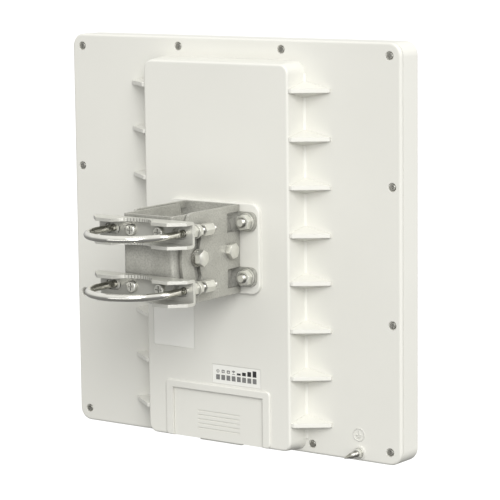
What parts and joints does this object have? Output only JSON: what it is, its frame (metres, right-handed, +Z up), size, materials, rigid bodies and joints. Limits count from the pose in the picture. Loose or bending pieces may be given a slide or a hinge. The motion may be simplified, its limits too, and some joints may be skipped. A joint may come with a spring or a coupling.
{
  "type": "panel antenna",
  "caption": "Flat panel radio antenna with a ribbed rear housing, a tilting steel bracket and two toothed pole clamps with U-bolts.",
  "frame": {"origin": "on the pole's axis, midway between the two pole clamps", "axes": "+Z up along the pole, +Y from the pole to the radome, +X to the right seen from behind"},
  "size_m": [0.37, 0.2174, 0.376],
  "materials": {
    "housing": "fine satin",
    "bracket": "matt grey zinc-flake coat",
    "saddle": "satin nickel",
    "zinc": "bright zinc",
    "rod": "polished",
    "seal": "matt",
    "grommet": "matt",
    "aluminium": "mill finish",
    "board": "solder mask",
    "copper": "bare copper",
    "chip": "matt",
    "jack": "gloss",
    "light": "clear grey",
    "label": "smooth film",
    "nylon": "plain"
  },
  "bodies": {
    "pole_bracket": {"inner_bracket": "bracket", "saddle_upper": "saddle", "saddle_lower": "saddle", "saddle_screws": "zinc", "saddle_nuts": "zinc", "clamp_washers": "zinc", "clamp_nuts": "zinc", "pivot_bolts": "zinc", "pivot_nuts": "zinc", "lock_bolts": "zinc", "lock_nuts": "zinc", "lock_washers": "zinc"},
    "ubolt_top": {"ubolt_upper": "rod", "ubolt_upper_nuts": "zinc"},
    "ubolt_bottom": {"ubolt_lower": "rod", "ubolt_lower_nuts": "zinc"},
    "antenna": {"outer_bracket": "bracket", "rear_cover": "housing", "cover_gussets": "housing", "mount_studs": "zinc", "mount_backplate": "zinc", "mount_washers": "zinc", "mount_nuts": "zinc", "radome": "housing", "cover_gasket": "seal", "cover_screws": "zinc", "reflector_plate": "aluminium", "reflector_screws": "zinc", "array_spacers": "nylon", "array_board": "board", "patch_elements": "copper", "feed_pins": "copper", "radio_board": "board", "board_screws": "zinc", "shield_cans": "aluminium", "board_chips": "chip", "heat_sink": "aluminium", "ethernet_jacks": "jack", "light_pipes": "light", "led_label": "label", "blank_label": "label", "cable_grommet": "grommet", "earth_stud": "zinc", "earth_washers": "zinc", "earth_nut": "zinc"},
    "hatch": {"hatch_cover": "housing"}
  },
  "joints": [
    {"name": "tilt", "type": "hinge", "parent": "pole_bracket", "child": "antenna", "pos_m": [0, 0.1127, 0], "axis": [1, 0, 0], "range_deg": [-20, 20]},
    {"name": "upper_clamp", "type": "slide", "parent": "pole_bracket", "child": "ubolt_top", "axis": [0, 1, 0], "range_m": [0, 0.018]},
    {"name": "lower_clamp", "type": "slide", "parent": "pole_bracket", "child": "ubolt_bottom", "axis": [0, 1, 0], "range_m": [0, 0.018]},
    {"name": "hatch_slide", "type": "slide", "parent": "antenna", "child": "hatch", "axis": [0, 0, -1], "range_m": [0, 0.046]}
  ]
}
